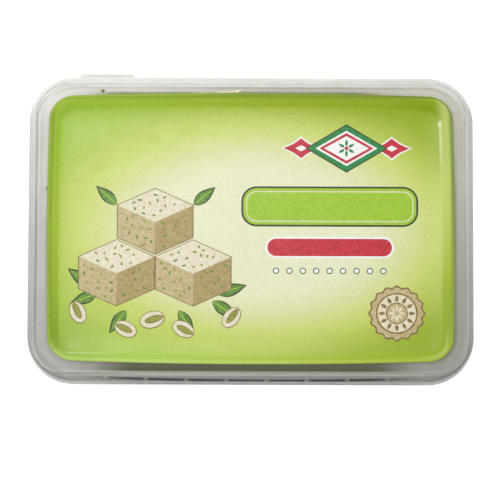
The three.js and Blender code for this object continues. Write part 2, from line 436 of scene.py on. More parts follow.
def lid_depths_and_light(look, colour):
    """What the lid lets through, with painted light, shade and highlights, by the place on it. inset is how
    far in from the lid's outline it is.
    """
    inset = look.inset(SKIRT_X, SKIRT_Y, RIM_RADIUS)
    back = look.ease(look.y, 54.0, 58.0)
    top = look.ease(look.z, BAND_TOP - 1.3, BAND_TOP - 0.7)
    half_pitch = RIB_PITCH["long"] / 2
    rib = look.math("PINGPONG", look.math("SUBTRACT", look.x, RIB_SHIFT["long"]), half_pitch)
    # between is 1 between the ribs, where the gap and the skirt's lower edge get painted shade.
    between = look.ease(rib, half_pitch - 1.2, half_pitch - 0.6, 1.0, 0.15)
    colour = lid_painted_light(look, colour, inset)
    colour = lid_ring(look, colour, inset, back)
    colour = lid_lines(look, colour, inset, back)

    # A green stain round the bit of pistachio at the back left.
    stain = look.ease(look.oval(-62.6, LABEL_Y + 1.3, 2.4, 1.5), 0.4, 1.0, 0.5, 0.0)
    colour = look.paint(colour, rgb(204, 210, 138), 1.0, stain, top)
    colour = lid_front(look, colour, inset, top, between)
    colour = skirt_front(look, colour, between)
    return look.tint(colour, side_ribs(look, rib))


def lid_painted_light(look, colour, inset):
    """Painted light and shade: the colour darkens towards the front and the right as the light falls off.
    The tab is darker and the outer band greyer, both with painted shade.
    """
    painted_falloff = look.ease(look.y, -60.0, 60.0, 0.70, 1.10)
    painted_falloff = look.math("SUBTRACT", painted_falloff, look.math("MULTIPLY", look.x, 0.0008))
    line = look.ease(look.math("PINGPONG", inset, 0.9), 0.1, 0.8, 0.97, 1.03)
    colour = look.tint(colour, look.both(painted_falloff, line))
    # Painted shade on the tab.
    colour = look.tint(colour, look.ease(look.y, SKIRT_Y, SKIRT_Y + 0.6, 1.0, 0.80))
    # Painted shade: the outer band is greyer except at the back, and more so at the front corners.
    outer = look.fall(inset, 2.2, 3.0)
    colour = look.filtered(colour, rgb(240, 240, 240), outer, look.fall(look.y, 46.0, 60.0))
    side = look.math("ABSOLUTE", look.x)
    corner = look.both(look.ease(side, 68.0, 84.0), look.fall(look.y, -56.0, -42.0))
    return look.filtered(colour, rgb(238, 238, 238), outer, corner)


def lid_ring(look, colour, inset, back):
    """Over the rim and inside it the plastic looks warmer to the right. At the back there is painted shade
    inside the groove and painted light on two bands; at the right there is painted shade, tinted green by
    the film beside it.
    """
    warmth = look.ease(look.x, -80.0, 60.0, 0.15, 0.75)
    warmth = look.both(warmth, look.ease(look.y, -60.0, -20.0, 0.6, 1.0))
    colour = look.filtered(colour, rgb(244, 243, 228), look.ease(inset, 3.0, 4.2), warmth)
    inland = look.fall(look.math("ABSOLUTE", look.math("SUBTRACT", look.x, 15.0)), 20.0, 62.0)
    # Painted shade at the back, inside the groove.
    colour = look.filtered(colour, rgb(226, 226, 224), look.ease(inset, 4.0, 4.8), back, inland)
    # Painted light on two bands at the back.
    colour = look.lit(colour, 1.16, look.band(inset, 2.6, 3.9, 0.5), back)
    colour = look.lit(colour, 1.10, look.band(inset, 5.4, 6.0, 0.4), back, inland)
    # Painted shade at the right beside the film, tinted by its green.
    beside = look.both(look.ease(look.x, 70.0, 84.0, 0.0, 0.6), look.fall(look.y, 10.0, 40.0))
    return look.filtered(colour, rgb(208, 214, 160), look.ease(inset, 6.2, 8.0), beside)


def lid_lines(look, colour, inset, back):
    """Painted shade in the channel beside the film at the back, painted shade lines along the rim at the
    left and the back, painted light along the rim at the right, and painted shade at the left back.
    """
    # Painted shade: a dark olive channel beside the film at the back.
    back_channel_shade = look.both(look.ease(look.x, -72.0, -54.0), look.fall(look.x, 42.0, 58.0))
    colour = look.paint(colour, rgb(134, 138, 88), 0.85, look.ease(inset, 5.8, 7.4), back, back_channel_shade)
    # Painted shade lines along the rim: in the groove at the left, and a thin one at the back.
    left = look.ease(look.x, -88.0, -60.0, 0.3, 0.0)
    colour = look.paint(colour, rgb(150, 144, 124), 1.0, look.band(inset, 3.2, 3.7, 0.5), left)
    colour = look.paint(colour, rgb(150, 146, 130), 0.25, look.band(inset, 4.5, 5.0, 0.3), back)
    # Painted light along the rim at the right.
    right = look.both(look.ease(look.x, 84.0, 89.0, 0.0, 0.35), look.ease(look.y, 2.0, 28.0, 0.5, 1.0))
    colour = look.paint(colour, rgb(244, 246, 234), 1.0, look.band(inset, 2.5, 3.8, 0.4), right)
    # Painted shade at the left back, inside the rim.
    left_back_shade = look.both(look.fall(look.x, -90.0, -84.0), look.ease(look.y, -20.0, 30.0))
    return look.filtered(colour, rgb(228, 227, 222), look.band(inset, 5.0, 6.4, 0.5), left_back_shade)


def lid_front(look, colour, inset, top, between):
    """The top in front: painted shade on the outer band, a painted highlight stripe along the rim, painted
    shade in the channel beside the film, and painted shade in the gap, paler where the ribs stand.
    """
    front = look.fall(look.y, -60.0, -52.0)
    side = look.math("ABSOLUTE", look.x)
    middle = look.fall(side, 48.0, 76.0)
    shaded = look.both(front, top, look.ease(side, 40.0, 80.0, 0.5, 0.25))
    # Painted shade on the outer band in front.
    colour = look.paint(colour, rgb(120, 121, 115), 1.0, look.band(inset, 0.0, 2.4, 0.5), shaded)

    # A painted highlight: a pale stripe along the rim, further in towards the left and a little towards the
    # right.
    stripe = look.inset(SKIRT_X - 2.9, SKIRT_Y - 3.3, 12.8)
    stripe = look.math("SUBTRACT", stripe, look.both(look.band(look.x, -74.0, -60.0, 20.0), 0.8))
    stripe = look.math("SUBTRACT", stripe, look.ease(look.x, 56.0, 86.0, 0.0, 0.5))
    pale = look.both(look.fall(look.y, -56.0, -36.0), top, look.ease(look.x, -60.0, 20.0, 0.75, 0.5))
    colour = look.paint(colour, rgb(236, 238, 222), 1.0, look.band(stripe, -0.4, 0.4, 0.5), pale)

    # Painted shade in the channel under the film's edge, and in the gap outside the rim between the ribs.
    channel = look.band(inset, 4.7, 9.0, 0.9)
    colour = look.paint(colour, rgb(98, 104, 62), 1.0, channel, front, middle, top)
    across = look.math("DIVIDE", look.math("SUBTRACT", look.x, 6.0), 60.0)
    gap = look.band(look.math("SUBTRACT", inset, look.math("POWER", across, 2.0)), 0.1, 0.7, 0.4)
    return look.paint(colour, rgb(58, 60, 54), 0.95, gap, front, middle, between, top)


def skirt_front(look, colour, between):
    """Painted shade on the skirt's face in front, darkest along its lower edge between the ribs."""
    along_front = look.both(look.ease(look.x, -76.0, -44.0), look.ease(look.x, 58.0, 84.0, 1.0, 0.2))
    round_front = look.both(look.fall(look.y, -60.0, -46.0), along_front)
    face = look.fall(look.z, BAND_TOP - 1.6, BAND_TOP - 0.8)
    colour = look.paint(colour, rgb(84, 86, 82), 0.58, face, round_front)
    shaded_low_edge = look.fall(look.z, SKIRT_BOTTOM + 1.4, SKIRT_BOTTOM + 2.8)
    return look.paint(colour, rgb(66, 68, 64), 0.8, shaded_low_edge, round_front, between)


def side_ribs(look, rib):
    """A factor for the skirt's face at the back and ends: painted shade from the dark gap behind it, but
    paler where a rib is behind.
    """
    face = look.band(look.z, SKIRT_BOTTOM + 1.6, BAND_TOP - 2.0, 0.6)
    at_back = look.ease(look.y, SKIRT_Y - 2.0, SKIRT_Y - 1.0)
    at_end = look.ease(look.math("ABSOLUTE", look.x), SKIRT_X - 2.0, SKIRT_X - 1.0)
    half = RIB_WIDE / 2
    half_pitch = RIB_PITCH["long"] / 2
    back_reach = half_pitch * RIB_COUNT["long"]
    end_reach = RIB_PITCH["short"] * RIB_COUNT["short"] / 2
    back_rib = look.ease(rib, half_pitch - half - 0.5, half_pitch - half + 0.2)
    end_rib = look.fall(look.math("PINGPONG", look.y, RIB_PITCH["short"] / 2), half - 0.2, half + 0.5)
    along = look.math("ABSOLUTE", look.math("SUBTRACT", look.x, RIB_SHIFT["long"]))
    back_rib = look.both(back_rib, at_back, look.fall(along, back_reach - 4.0, back_reach - 3.0))
    far = look.math("ABSOLUTE", look.y)
    end_rib = look.both(end_rib, at_end, look.fall(far, end_reach - 4.0, end_reach - 3.0))
    ribs = look.math("MAXIMUM", back_rib, end_rib)
    sides = look.math("MAXIMUM", at_back, at_end)
    shade = look.math("SUBTRACT", look.math("MULTIPLY", ribs, 0.13), look.math("MULTIPLY", sides, 0.07))
    return look.math("ADD", look.math("MULTIPLY", shade, face), 1.0)


def satin(look):
    """The soft gloss of the printed film."""
    look.roughness(look.spread(look.noise(150), 0.29, 0.35))


def film_print():
    """The film's ground, from the panel out over the slope to the bead, with painted light and shade on the
    slope and bead, and painted highlights.
    """
    look = Look("film_print", Specular_IOR_Level=0.3)
    lean = look.math("ADD", look.math("MULTIPLY", look.x, 0.9), look.math("MULTIPLY", look.y, 0.2))
    to_right = look.ease(lean, -50.0, 48.0)
    to_corner = look.math("DIVIDE", look.math("MULTIPLY", look.x, look.y), LABEL_X * LABEL_Y)
    drawn_in = look.math("MULTIPLY", look.math("POWER", to_corner, 2.0), 1.3)
    inset = look.math("SUBTRACT", look.inset(LABEL_X, LABEL_Y, LABEL_RADIUS), drawn_in)
    shade = film_glow(look, to_right)
    shade = film_slope(look, shade, inset, to_right)
    shade = film_bead(look, shade, inset)
    shade = film_painted_highlights(look, shade, inset)
    speck = look.spread(look.noise(900, detail=4, roughness=0.7), 0.95, 1.05)
    look.colour(look.tint(shade, speck))
    satin(look)
    look.bump(look.noise(420, detail=2), strength=0.06, distance=0.05)
    return look.material


def film_glow(look, to_right):
    """Green towards the edges, with a wide pale glow."""
    ground = look.mix(to_right, rgb(166, 194, 70), rgb(147, 172, 24))
    glow = look.oval(4, 0, 73, 43)
    ground = look.paint(ground, rgb(194, 206, 98), 1.0, look.fall(glow, 0.95, 1.42))
    return look.paint(ground, rgb(223, 224, 189), 1.0, look.fall(glow, 0.55, 1.13))


def film_slope(look, shade, inset, to_right):
    """The slope is a green of its own with painted light and shade: lighter in front and at the right, with
    painted reflections there, and painted shade at the left and the front left.
    """
    slope = look.fall(inset, SLOPE_WIDTH - 0.6, SLOPE_WIDTH + 1.6)
    # Painted light and shade on the slope: its own green, lighter at the back.
    slope_shading = look.mix(to_right, rgb(176, 207, 72), rgb(166, 190, 54))
    slope_shading = look.tint(slope_shading, look.ease(look.y, 46.0, 54.0, 1.0, 1.12))
    off_front = look.ease(look.y, -54.0, -46.0, 0.15, 1.0)
    shade = look.paint(shade, slope_shading, 1.0, slope, off_front, look.ease(look.x, 50.0, 80.0, 0.9, 0.4))
    # Painted shade over the front left, and on the left slope.
    shade = look.lit(shade, 0.84, look.fall(look.x, -84.0, -44.0), look.fall(look.y, -54.0, -24.0))
    shade = look.lit(shade, 0.86, slope, look.fall(look.x, -82.0, -77.0), look.fall(look.y, -40.0, 10.0))
    # Painted light on the front slope.
    lit_front_green = look.mix(to_right, rgb(200, 226, 140), rgb(184, 208, 96))
    shade = look.paint(shade, lit_front_green, 0.3, slope, look.fall(look.y, -54.0, -47.0))
    # Painted reflections on the slope: a veil at the front right, and a pale one at the right.
    sheen_veil = look.both(slope, look.ease(look.x, 40.0, 76.0), look.band(look.y, -42.0, -30.0, 12.0))
    shade = look.paint(shade, rgb(164, 188, 84), 0.5, sheen_veil)
    right = look.both(look.ease(look.x, 76.0, 81.0), look.ease(look.y, -30.0, 30.0))
    return look.paint(shade, rgb(226, 236, 160), 0.55, right, slope)


def film_bead(look, shade, inset):
    """Painted shade on the bead's outer side, but for the front, and darker painted shade on its edge,
    darkest at the back and right.
    """
    shaded_away = look.both(look.ease(look.y, -52.0, -44.0), look.ease(look.x, 60.0, 80.0, 1.0, 0.5))
    shade = look.paint(shade, rgb(138, 163, 44), 0.9, look.fall(inset, 1.2, 2.4), shaded_away)
    # Painted shade: a dark line along the film's edge.
    edge = look.ease(look.math("ADD", look.x, look.y), 10.0, 60.0, 0.0, 0.75)
    edge = look.both(edge, look.ease(look.x, 20.0, 70.0, 0.55, 1.0))
    edge = look.both(edge, look.ease(look.y, -40.0, 20.0, 0.5, 1.0))
    return look.paint(shade, rgb(100, 120, 28), 1.0, look.fall(inset, 0.8, 1.6), edge)


def film_painted_highlights(look, shade, inset):
    """Painted highlights: thin lines along the foot of the slope at two corners, with a glint at one, and
    round the bead at a third.
    """
    painted_gleam = rgb(236, 244, 200)
    right_foot = look.both(look.ease(look.x, 74.0, 76.0), look.ease(look.y, 24.0, 38.0))
    right_foot = look.both(right_foot, look.fall(look.y, 45.0, 47.0))
    shade = look.paint(shade, painted_gleam, 0.4, look.band(inset, 4.8, 5.2, 0.7), right_foot)
    shade = look.paint(shade, painted_gleam, 0.75, look.fall(look.oval(79.2, 46.0, 1.4, 2.1), 0.1, 1.0))
    front_foot = look.both(look.fall(look.y, -50.0, -48.0), look.ease(look.x, -78.0, -75.0))
    front_foot = look.both(front_foot, look.fall(look.x, -72.0, -50.0))
    shade = look.paint(shade, painted_gleam, 0.4, look.band(inset, 4.5, 4.8, 0.5), front_foot)
    into_corner = look.ease(look.math("SUBTRACT", look.x, look.y), 123.0, 130.0)
    return look.paint(shade, painted_gleam, 0.18, look.band(inset, 2.2, 2.9, 0.6), into_corner)


def ink(name, light, dark):
    """One printed colour, mottled between two tones."""
    look = Look(f"ink_{name}", Specular_IOR_Level=0.3)
    look.colour(look.mix(look.ease(look.noise(700, detail=4, roughness=0.65), 0.35, 0.65), light, dark))
    satin(look)
    return look.material


def halva_look():
    look = Look("halva_look", Roughness=0.8)
    fibre = look.noise(420, detail=6, roughness=0.65, stretch=(1, 1, 2.4), distortion=0.6)
    patch = look.noise(55, detail=3)
    base = look.mix(look.ease(fibre, 0.32, 0.68), rgb(184, 164, 118), rgb(220, 204, 164))
    base = look.mix(look.ease(patch, 0.35, 0.65, 0.0, 0.5), base, rgb(205, 186, 138))
    look.colour(base)
    look.bump(fibre, strength=0.6, distance=0.5)
    return look.material


def nut_look(name, light, dark):
    look = Look(name, Roughness=0.6)
    look.colour(look.mix(look.ease(look.noise(500, detail=4), 0.35, 0.65), light, dark))
    look.bump(look.noise(900), strength=0.4, distance=0.2)
    return look.material


# ---- The tub ----
def make_tub(material):
    foot = BASE_INSET + 3.5
    groove_far = foot + 3.6
    rim_outer = 3.0
    rim_inner = rim_outer + TUB_WALL
    rings = rounded([
        skirt_ring(groove_far, 0, 6.0),
        skirt_ring(groove_far - 0.4, 0.7, 6.4),
        skirt_ring(foot + 2.0, 0.7, 7.6),
        skirt_ring(foot + 1.6, 0, 8.0),
        skirt_ring(foot, 0, 9.0),
        skirt_ring(BASE_INSET + 1.6, 0.45, 10.5),
        skirt_ring(BASE_INSET + 0.5, 1.6, 11.5),
        skirt_ring(BASE_INSET, 3.2, 12.0),
        skirt_ring(SHOULDER_INSET, LEDGE_TOP - 1.6, 15.0),
        skirt_ring(SHOULDER_INSET - 0.3, LEDGE_TOP - 1.2, 15.2),
        skirt_ring(0.5, LEDGE_TOP - 1.2, 19.0),
        skirt_ring(0.5, LEDGE_TOP, 19.0),
        skirt_ring(rim_outer, LEDGE_TOP, 16.6),
        skirt_ring(rim_outer, RIM_TOP - 2.4, 16.6),
        skirt_ring(rim_outer - 0.6, RIM_TOP - 1.6, 17.2),
        skirt_ring(rim_outer - 0.4, RIM_TOP - 0.6, 17.0),
        skirt_ring(rim_outer, RIM_TOP, 16.6),
        skirt_ring(rim_inner, RIM_TOP, 15.4),
        skirt_ring(SHOULDER_INSET, LEDGE_TOP + 0.7, 14.8),
        skirt_ring(SHOULDER_INSET + TUB_WALL, LEDGE_TOP - 1.6, 13.8),
        skirt_ring(BASE_INSET + TUB_WALL, FLOOR + 2.4, 10.8),
        skirt_ring(BASE_INSET + TUB_WALL + 0.7, FLOOR + 0.8, 10.2),
        skirt_ring(BASE_INSET + TUB_WALL + 2.1, FLOOR, 9.0),
    ])
    made = loft("tub_shell", rings, material)
    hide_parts("tub")


# ---- The lid ----
def film_face(lift):
    """The bead and panel that carry the film, raised by lift along the face's own normal."""
    face = [
        label_ring(0, LID_CREST - 0.3),
        label_ring(0.55, LID_CREST),
        label_ring(1.2, LID_CREST - 0.25),
        panel_ring(-0.7, PANEL_TOP + 0.75),
        panel_ring(0, PANEL_TOP + 0.2),
        panel_ring(0.9, PANEL_TOP),
    ]
    moved = []
    for index, one in enumerate(face):
        before = face[max(index - 1, 0)]
        after = face[min(index + 1, len(face) - 1)]
        run = before[0] - after[0]
        rise = after[3] - before[3]
        length = math.hypot(run, rise)
        copy = one.copy()
        copy[0:3] += lift * rise / length
        copy[3] += lift * run / length
        moved.append(copy)
    return moved


def make_lid(material):
    under = BAND_TOP - LID_WALL
    tab_low = SKIRT_BOTTOM + 0.3
    inner = [
        panel_ring(0.5, PANEL_TOP - LID_WALL),
        panel_ring(-0.7, PANEL_TOP - LID_WALL + 0.3),
        panel_ring(-1.4, PANEL_TOP + 0.1),
        label_ring(0.7, LID_CREST - 1.7),
        label_ring(-1.0, LID_CREST - 2.0),
        skirt_ring(GROOVE_INSET, under - 0.25, GROOVE_RADIUS),
        skirt_ring(LID_WALL + 0.5, under - 0.05, rib=RIB_DEEP),
        skirt_ring(LID_WALL, under - 0.6, rib=RIB_DEEP),
        skirt_ring(LID_WALL, SKIRT_BOTTOM + 0.5, rib=RIB_DEEP),
        skirt_ring(LID_WALL, SKIRT_BOTTOM + 0.3),
        skirt_ring(LID_WALL, SKIRT_BOTTOM),
    ]
    outer = [
        skirt_ring(0, SKIRT_BOTTOM),
        skirt_ring(0, tab_low - 0.05),
        skirt_ring(0.05, tab_low, tab=TAB_REACH),
        skirt_ring(0.05, tab_low + TAB_THICK, tab=TAB_REACH),
        skirt_ring(0.05, tab_low + TAB_THICK + 0.05),
        skirt_ring(0.1, BAND_TOP - 1.1),
        skirt_ring(0.4, BAND_TOP - 0.35),
        skirt_ring(1.1, BAND_TOP),
        skirt_ring(GROOVE_INSET - 0.5, BAND_TOP, GROOVE_RADIUS + 0.5),
        skirt_ring(GROOVE_INSET, BAND_TOP - GROOVE_DEPTH, GROOVE_RADIUS),
        skirt_ring(GROOVE_INSET + 0.5, BAND_TOP + 0.1, GROOVE_RADIUS - 0.5),
        label_ring(-1.5, BAND_TOP + 0.25),
        label_ring(-0.6, BAND_TOP + 0.4),
    ]
    made = loft("lid_shell", rounded(inner + outer + film_face(0), 0.25), material)
    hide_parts("lid")


def make_film(material):
    under = film_face(0.05)[::-1]
    over = film_face(FILM_OVER_LID)
    middles = [panel_ring(inset, over[-1][3]) for inset in range(8, 49, 8)]
    made = loft("printed_film", rounded(under + over, 0.5, 4) + middles, material)
    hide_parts("label")


# ---- The print: thin layers of colour on the film's panel ----
LAYER = 0.015  # thickness of one layer of ink
BLOCK_SIZE = 17.0
BLOCK_BITS = 13  # slivers of pistachio on each face of a printed block
BIT_SPACING = 2.4
INKS = {
    "lime": (rgb(158, 198, 42), rgb(146, 186, 34)),
    "dark_green": (rgb(44, 70, 28), rgb(30, 52, 20)),
    "deep_green": (rgb(30, 138, 68), rgb(20, 116, 56)),
    "leaf_green": (rgb(104, 148, 44), rgb(76, 120, 34)),
    "white": (rgb(242, 242, 240), rgb(230, 230, 226)),
    "crimson": (rgb(204, 44, 62), rgb(176, 28, 48)),
    "cream": (rgb(226, 220, 198), rgb(212, 204, 174)),
    "tan": (rgb(196, 180, 136), rgb(178, 160, 112)),
    "ochre": (rgb(176, 156, 102), rgb(156, 134, 80)),
    "brown": (rgb(144, 120, 70), rgb(122, 98, 52)),
    "olive": (rgb(156, 162, 56), rgb(124, 134, 40)),
}
PRINTED = {name: [] for name in INKS}


def stamp(colour, points, layer):
    """Adds one flat shape to a colour of the print. Higher layers lie over lower ones."""
    PRINTED[colour].append((points, layer))


def turned(x, y, px, py, turn):
    """The point px, py turned round the origin and then moved by x, y."""
    return x + px * math.cos(turn) - py * math.sin(turn), y + px * math.sin(turn) + py * math.cos(turn)


def oval_points(x, y, half_x, half_y, turn=0.0, steps=36):
    angles = [step / steps * 2 * math.pi for step in range(steps)]
    return [turned(x, y, half_x * math.cos(a), half_y * math.sin(a), turn) for a in angles]


def bar_points(x, y, half_x, half_y, radius, steps=8):
    points = []
    for corner, (sx, sy) in enumerate(CORNERS):
        for step in range(steps + 1):
            angle = (corner - 1 + step / steps) * math.pi / 2
            points.append((x + sx * (half_x - radius) + radius * math.cos(angle),
                           y + sy * (half_y - radius) + radius * math.sin(angle)))
    return points


def lozenge_points(x, y, half_x, half_y, hollow=0.0, steps=8):
    """A lozenge whose sides bend in by hollow, a share of its size."""
    tips = [(half_x, 0), (0, half_y), (-half_x, 0), (0, -half_y)]
    points = []
    for (ax, ay), (bx, by) in zip(tips, tips[1:] + tips[:1]):
        for step in range(steps):
            t = step / steps
            pull = 1 - hollow * math.sin(math.pi * t)
            points.append((x + (ax + (bx - ax) * t) * pull, y + (ay + (by - ay) * t) * pull))
    return points


def leaf_points(x, y, length, width, turn, steps=12):
    """A leaf from its stalk at x, y, pointing along turn."""
    side = [(length * t, width / 2 * math.sin(math.pi * t**0.8)) for t in np.linspace(0, 1, steps)]
    outline = side + [(px, -py) for px, py in side[-2:0:-1]]
    return [turned(x, y, px, py, turn) for px, py in outline][::-1]


def print_leaf(x, y, length, turn, layer):
    width = length * 0.42
    stamp("dark_green", leaf_points(x, y, length, width, turn), layer)
    stamp("leaf_green", leaf_points(x, y, length * 0.92, width * 0.78, turn), layer + 1)
    stamp("lime", leaf_points(x, y, length * 0.92, width * 0.10, turn), layer + 2)


def print_nut(x, y, size, turn, layer):
    """A pistachio in its split shell."""
    stamp("brown", oval_points(x, y, size * 1.06, size * 0.72, turn), layer)
    stamp("cream", oval_points(x, y, size, size * 0.66, turn), layer + 1)
    ahead = turned(x, y, size * 0.16, 0, turn)
    stamp("brown", oval_points(*ahead, size * 0.82, size * 0.30, turn), layer + 2)
    stamp("olive", oval_points(*ahead, size * 0.74, size * 0.21, turn), layer + 3)


def print_block(x, y, rng, layer):
    """A cube of halva seen from a corner, with slivers of pistachio. x, y is its lowest corner."""
    right = np.array([BLOCK_SIZE * 0.92, BLOCK_SIZE * 0.42])
    left = np.array([-BLOCK_SIZE * 0.92, BLOCK_SIZE * 0.42])
    up = np.array([0.0, BLOCK_SIZE * 0.80])
    low = np.array([x, y])
    edge = [low, low + right, low + right + up, low + right + left + up, low + left + up, low + left]
    middle = low + up
    stamp("brown", [tuple(middle + (corner - middle) * 1.025) for corner in edge], layer)
    faces = [("cream", low + up, right, left), ("tan", low, up, left), ("ochre", low, right, up)]
    for colour, start, one, two in faces:
        corners = [start, start + one, start + one + two, start + two]
        stamp(colour, [tuple(corner) for corner in corners], layer + 1)
        taken = []
        while len(taken) < BLOCK_BITS:
            spot = start + one * rng.uniform(0.1, 0.9) + two * rng.uniform(0.1, 0.9)
            if all(np.hypot(*(spot - other)) > BIT_SPACING for other in taken):
                taken.append(spot)
                shade = "olive" if rng.random() < 0.6 else "leaf_green"
                half_long = rng.uniform(0.6, 1.15)
                sliver = oval_points(*spot, half_long, 0.42, rng.uniform(0, math.pi), 10)
                stamp(shade, sliver, layer + 2)


def print_emblem(x, y):
    """A white lozenge in a green border, between two crimson ones."""
    for side_x in (x - 19.0, x + 19.0):
        stamp("white", lozenge_points(side_x, y, 8.6, 5.2, 0.12), 1)
        stamp("crimson", lozenge_points(side_x, y, 7.4, 4.3, 0.12), 2)
        stamp("white", lozenge_points(side_x, y, 2.4, 1.3), 3)
    stamp("dark_green", lozenge_points(x, y, 17.2, 10.4), 4)
    stamp("deep_green", lozenge_points(x, y, 16.4, 9.8), 5)
    stamp("white", lozenge_points(x, y, 13.0, 7.6), 6)
    stamp("crimson", lozenge_points(x, y, 11.4, 6.6), 7)
    stamp("white", lozenge_points(x, y, 9.4, 5.3), 8)
    for leaf in range(6):
        turn = leaf * math.pi / 3 + math.pi / 6
        stamp("deep_green", leaf_points(*turned(x, y, 0.9, 0, turn), 3.0, 1.2, turn, 8), 9)
    stamp("crimson", oval_points(x, y, 0.8, 0.8), 9)


def print_rosette(x, y, radius):
    """Two scalloped rings, four round ones, and two rounds of petals."""
    scallops = 16
    steps = 6 * scallops
    for share, colour, layer in ((1.0, "brown", 1), (0.93, "tan", 2)):
        outline = []
        for step in range(steps):
            angle = step / steps * 2 * math.pi
            reach = radius * share * (1 + 0.045 * math.cos(scallops * angle))
            outline.append(turned(x, y, reach, 0, angle))
        stamp(colour, outline, layer)
    rounds = ((0.76, "brown", 3), (0.70, "cream", 4), (0.40, "brown", 5), (0.36, "tan", 6))
    for share, colour, layer in rounds:
        stamp(colour, oval_points(x, y, radius * share, radius * share, steps=48), layer)
    petals = ((12, 0.42, 0.26, 0.13, "brown", 5), (8, 0.08, 0.24, 0.10, "cream", 7))
    for count, start, length, width, colour, layer in petals:
        for petal in range(count):
            turn = petal * 2 * math.pi / count
            stalk = turned(x, y, radius * start, 0, turn)
            stamp(colour, leaf_points(*stalk, radius * length, radius * width, turn, 8), layer)


def print_bars():
    """Two blank title bars, and a row of dots below them."""
    title = (33.0, 10.5)
    borders = ((1.0, "dark_green", 1), (0.2, "lime", 2), (-1.0, "cream", 3), (-1.5, "lime", 4))
    for grow, colour, layer in borders:
        stamp(colour, bar_points(*title, 36.0 + grow, 7.6 + grow, 5.4 + grow), layer)
    strip = (33.0, -7.0)
    for grow, colour, layer in ((0.9, "white", 1), (0.0, "crimson", 2)):
        stamp(colour, bar_points(*strip, 26.0 + grow, 3.7 + grow, 3.6 + grow), layer)
    for dot in range(9):
        x = strip[0] + (dot - 4) * 5.6
        for radius, colour, layer in ((1.35, "dark_green", 1), (0.95, "white", 2)):
            stamp(colour, oval_points(x, -17.0, radius, radius, steps=20), layer)


def draw_print():
    """Places every motif: x, y, and for leaves and nuts their size and turn."""
    rng = random.Random(SEED)
    leaves = ((-66, -24, 13, 2.5), (-64, -27, 12, 3.5), (-14, -27, 13, 0.3), (-16, -30, 13, -0.6),
              (-30, -34, 12, -1.0), (-52, -34, 12, 4.1), (-56, 11, 12, 2.4), (-24, 11, 12, 0.7))
    for index, (x, y, length, turn) in enumerate(leaves):
        print_leaf(x, y, length, turn, 1 + index % 2 * 3)
    print_block(-56.0, -32.0, rng, 7)
    print_block(-24.0, -32.0, rng, 7)
    print_block(-40.0, -10.0, rng, 10)
    nuts = ((-41, -38, 5.0, 0.3), (-28, -42, 4.6, -0.5), (-52, -42, 4.6, 2.7),
            (-8, -37, 4.6, 0.9), (-72, -35, 4.6, 2.0))
    for x, y, size, turn in nuts:
        print_nut(x, y, size, turn, 13)
    print_bars()
    print_emblem(40.0, 35.5)
    print_rosette(61.0, -35.0, 11.5)


def add_plate(vertices, faces, points, height):
    """One printed shape as a thin plate, from just inside the film to height over it."""
    area = sum(ax * by - bx * ay for (ax, ay), (bx, by) in zip(points, points[1:] + points[:1]))
    outline = points if area > 0 else points[::-1]
    start, count = len(vertices), len(outline)
    for z in (PRINT_Z - LAYER, PRINT_Z + height):
        vertices += [(x, y, z) for x, y in outline]
    faces.append(tuple(range(start + count - 1, start - 1, -1)))
    faces.append(tuple(range(start + count, start + 2 * count)))
    for step in range(count):
        low, following = start + step, start + (step + 1) % count
        faces.append((low, following, following + count, low + count))


def make_print():
    draw_print()
    for colour, shapes in PRINTED.items():
        vertices, faces = [], []
        for points, layer in shapes:
            add_plate(vertices, faces, points, layer * LAYER)
        material = ink(colour, *INKS[colour])
        add_object(f"print_{colour}", vertices, faces, material, smooth=False)


# ---- The halva ----
INTO_WALL = 0.15  # how far the halva reaches into the wall, so that no air shows between them
HALVA_FOOT = BASE_INSET + TUB_WALL - INTO_WALL  # inset of its side just above the floor
HALVA_SHOULDER = SHOULDER_INSET + TUB_WALL - INTO_WALL
SIDE_STEPS = 28
PISTACHIO_BITS = 330
BIT_SIZE = (0.7, 2.0)  # half the length of a bit
GREEN_SHARE = 0.8  # the rest are skins
CRUMBS = 18
CRUMB_ROW = (-24.0, 18.0)  # where the row of crumbs starts, and its length


def halva_side(share):
    """The ring where the halva meets the wall: share is 0 just above the floor and 1 at the shoulder."""
    low = skirt_ring(HALVA_FOOT, FLOOR + 2.3, 10.95)
    high = skirt_ring(HALVA_SHOULDER, LEDGE_TOP - 1.6, 13.95)
    return low + (high - low) * share


def make_halva(material):
    top = HALVA_HIGH.z - 0.4
    rings = [skirt_ring(HALVA_FOOT + 2.0, FLOOR - 0.1, 8.9)]
    rings.append(skirt_ring(HALVA_FOOT + 0.6, FLOOR + 0.7, 10.3))
    rings += [halva_side(step / SIDE_STEPS) for step in range(SIDE_STEPS + 1)]
    rings += [
        skirt_ring(HALVA_SHOULDER + 0.35, top - 0.9, 13.5),
        skirt_ring(HALVA_SHOULDER + 0.9, top - 0.3, 13.0),
        skirt_ring(HALVA_SHOULDER + 2.0, top, 12.0),
    ]
    rings += [skirt_ring(inset, top, max(15 - inset / 3, 2)) for inset in range(10, 56, 3)]

    def uneven(points):
        """Lifts and lowers the top, but not the sides."""
        for point in points:
            where = Vector(point)
            if point[2] > top - 0.1:
                point[2] += 0.35 * noise.noise(where / 9) + 0.2 * noise.noise(where / 3.1)
        return points

    made = loft("halva_block", rings, material, uneven)
    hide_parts("halva")


def ball():
    """An icosphere's points and faces."""
    shape = bmesh.new()
    bmesh.ops.create_icosphere(shape, subdivisions=2, radius=1.0)
    points = [tuple(v.co) for v in shape.verts]
    faces = [tuple(v.index for v in face.verts) for face in shape.faces]
    shape.free()
    return points, faces


BALL_POINTS, BALL_FACES = ball()


def lump(centre, along, across, out, rng):
    """The points of a rough oval lump, from three half axes round its centre."""
    points = []
    for x, y, z in BALL_POINTS:
        uneven = 1 + rng.uniform(-0.16, 0.16)
        points.append(tuple(centre + (along * x + across * y + out * z) * uneven))
    return points


